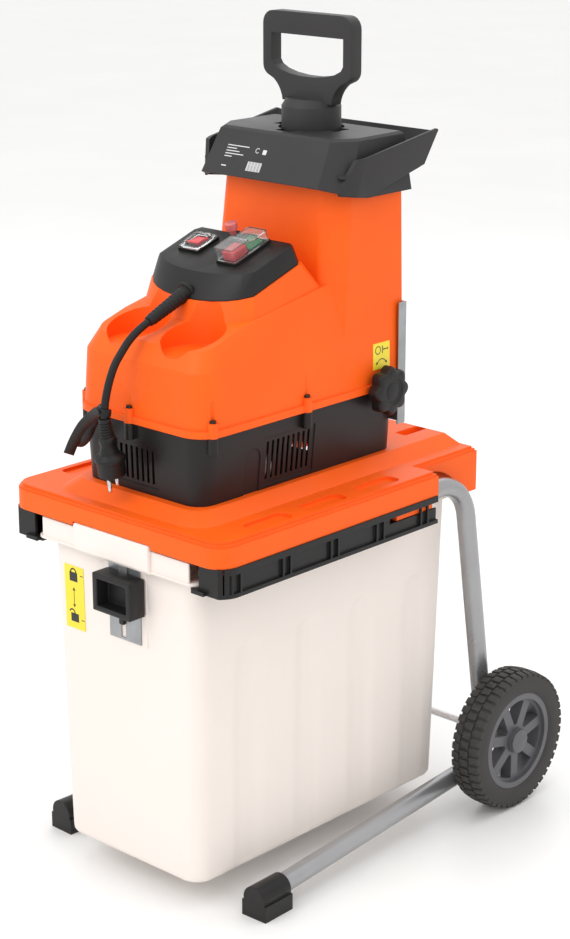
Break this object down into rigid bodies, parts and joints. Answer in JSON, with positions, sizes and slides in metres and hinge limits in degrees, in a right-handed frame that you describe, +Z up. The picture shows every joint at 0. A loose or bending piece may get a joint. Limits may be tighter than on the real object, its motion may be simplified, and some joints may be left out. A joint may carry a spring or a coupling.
{
  "type": "electric garden shredder",
  "caption": "Electric garden shredder: orange housing with roller cutter, feed hopper and pusher on a wheeled tube stand over a pull-out translucent collection bin.",
  "frame": {"origin": "on the floor, under the middle of the bounding box of the shredder without its cord", "axes": "+Z up; -Y points out of the side that the bin pulls out of, +Y to the wheels; +X to the side with the adjustment knob"},
  "size_m": [0.446, 0.634, 1.05],
  "materials": {
    "orange_plastic": "satin moulded",
    "black_plastic": "satin moulded",
    "dark_plastic": "fine grain",
    "grey_plastic": "satin moulded",
    "milky_plastic": "translucent, soft gloss",
    "clear_plastic": "clear moulded",
    "red_plastic": "gloss",
    "green_plastic": "gloss",
    "label_yellow": "printed film",
    "tyre_rubber": "matte",
    "black_rubber": "matte",
    "grey_paint": "satin powder coat",
    "zinc_steel": "bright zinc",
    "bare_steel": "machined",
    "stator_steel": "laminated",
    "motor_aluminium": "cast"
  },
  "bodies": {
    "chassis": {"deck": "orange_plastic", "rail_left": "black_plastic", "rail_right": "black_plastic", "frame_tube_left": "grey_paint", "frame_tube_right": "grey_paint", "axle": "zinc_steel", "foot_cap_left": "black_plastic", "foot_cap_right": "black_plastic", "hub_cap_left": "grey_plastic", "hub_cap_right": "grey_plastic", "lower_housing": "black_plastic", "upper_housing": "orange_plastic", "rear_steel_plate": "zinc_steel", "hopper_cap": "dark_plastic", "feed_chute": "zinc_steel", "control_box": "black_plastic", "start_stop_frame": "black_plastic", "changeover_frame": "black_plastic", "reset_collar": "black_plastic", "motor_can": "motor_aluminium", "motor_stator": "stator_steel", "capacitor": "motor_aluminium", "gearbox_case": "motor_aluminium", "gearbox_cover": "motor_aluminium", "ball_bearings": "bare_steel", "cutter_frame": "bare_steel", "side_label": "label_yellow", "safety_switch": "black_plastic", "housing_screws": "zinc_steel", "rail_screws": "zinc_steel", "frame_bolts": "zinc_steel", "cord_boot": "black_rubber", "power_cord": "black_rubber", "plug_body": "black_rubber", "cord_strap": "black_rubber"},
    "left_wheel": {"tyre_left": "tyre_rubber", "wheel_rim_left": "grey_plastic"},
    "right_wheel": {"tyre_right": "tyre_rubber", "wheel_rim_right": "grey_plastic"},
    "bin": {"collection_bin": "milky_plastic", "latch_plate": "zinc_steel", "bin_label": "label_yellow"},
    "latch": {"latch_grip": "black_plastic", "latch_tongue": "zinc_steel"},
    "pusher": {"pusher": "dark_plastic"},
    "start_button": {"start_button": "green_plastic"},
    "stop_button": {"stop_button": "red_plastic"},
    "switch_cover": {"switch_cover": "clear_plastic"},
    "changeover_rocker": {"changeover_rocker": "red_plastic"},
    "reset_button": {"reset_button": "red_plastic"},
    "rotor": {"motor_rotor": "bare_steel", "cooling_fan": "black_plastic"},
    "first_shaft": {"first_gear": "bare_steel"},
    "second_shaft": {"second_gear": "bare_steel"},
    "roller": {"cutting_roller": "bare_steel", "roller_gear": "bare_steel"},
    "plate": {"counter_plate": "bare_steel"},
    "knob": {"adjustment_knob": "black_plastic", "adjusting_screw": "zinc_steel"},
    "plunger": {"switch_plunger": "grey_plastic"}
  },
  "joints": [
    {"name": "left_wheel_spin", "type": "hinge", "parent": "chassis", "child": "left_wheel", "pos_m": [-0.2, 0.222, 0.095], "axis": [1, 0, 0], "continuous": true},
    {"name": "right_wheel_spin", "type": "hinge", "parent": "chassis", "child": "right_wheel", "pos_m": [0.2, 0.222, 0.095], "axis": [1, 0, 0], "continuous": true},
    {"name": "bin_slide", "type": "slide", "parent": "chassis", "child": "bin", "axis": [0, -1, 0], "range_m": [0, 0.5]},
    {"name": "latch_slide", "type": "slide", "parent": "bin", "child": "latch", "axis": [0, 0, -1], "range_m": [0, 0.016]},
    {"name": "pusher_lift", "type": "slide", "parent": "chassis", "child": "pusher", "axis": [0, 0, 1], "range_m": [0, 0.26]},
    {"name": "start_press", "type": "slide", "parent": "chassis", "child": "start_button", "axis": [0, 0.3256, -0.9455], "range_m": [0, 0.003], "stiffness_N_per_m": 500},
    {"name": "stop_press", "type": "slide", "parent": "chassis", "child": "stop_button", "axis": [0, 0.3256, -0.9455], "range_m": [0, 0.003], "stiffness_N_per_m": 500},
    {"name": "cover_flip", "type": "hinge", "parent": "chassis", "child": "switch_cover", "pos_m": [0.03, -0.07569, 0.79624], "axis": [-1, 0, 0], "range_deg": [0, 95]},
    {"name": "changeover_rock", "type": "hinge", "parent": "chassis", "child": "changeover_rocker", "pos_m": [-0.045, -0.10421, 0.77923], "axis": [1, 0, 0], "range_deg": [0, 20]},
    {"name": "reset_press", "type": "slide", "parent": "chassis", "child": "reset_button", "axis": [0, 0.3256, -0.9455], "range_m": [0, 0.003], "stiffness_N_per_m": 400},
    {"name": "motor_spin", "type": "hinge", "parent": "chassis", "child": "rotor", "pos_m": [0.00284, -0.163, 0.61924], "axis": [0, 1, 0], "continuous": true},
    {"name": "first_shaft_spin", "type": "hinge", "parent": "chassis", "child": "first_shaft", "pos_m": [0.00637, -0.063, 0.65959], "axis": [0, 1, 0], "continuous": true},
    {"name": "second_shaft_spin", "type": "hinge", "parent": "chassis", "child": "second_shaft", "pos_m": [-0.03984, -0.063, 0.64976], "axis": [0, 1, 0], "continuous": true},
    {"name": "roller_spin", "type": "hinge", "parent": "chassis", "child": "roller", "pos_m": [-0.005, 0.037, 0.6], "axis": [0, 1, 0], "continuous": true},
    {"name": "knob_turn", "type": "hinge", "parent": "chassis", "child": "knob", "pos_m": [0.12, 0.055, 0.596], "axis": [1, 0, 0], "range_deg": [-540.5, 540.5]},
    {"name": "plate_slide", "type": "slide", "parent": "chassis", "child": "plate", "axis": [1, 0, 0], "range_m": [-0.00225, 0.00225]},
    {"name": "plunger_press", "type": "slide", "parent": "chassis", "child": "plunger", "axis": [0, 0, 1], "range_m": [0, 0.004], "stiffness_N_per_m": 200}
  ],
  "couplings": [
    {"joint": "first_shaft_spin", "follows": "motor_spin", "ratio": -0.28571},
    {"joint": "second_shaft_spin", "follows": "motor_spin", "ratio": 0.081633},
    {"joint": "roller_spin", "follows": "motor_spin", "ratio": -0.023324},
    {"joint": "knob_turn", "follows": "plate_slide", "rad_per_m": 4188.8}
  ]
}
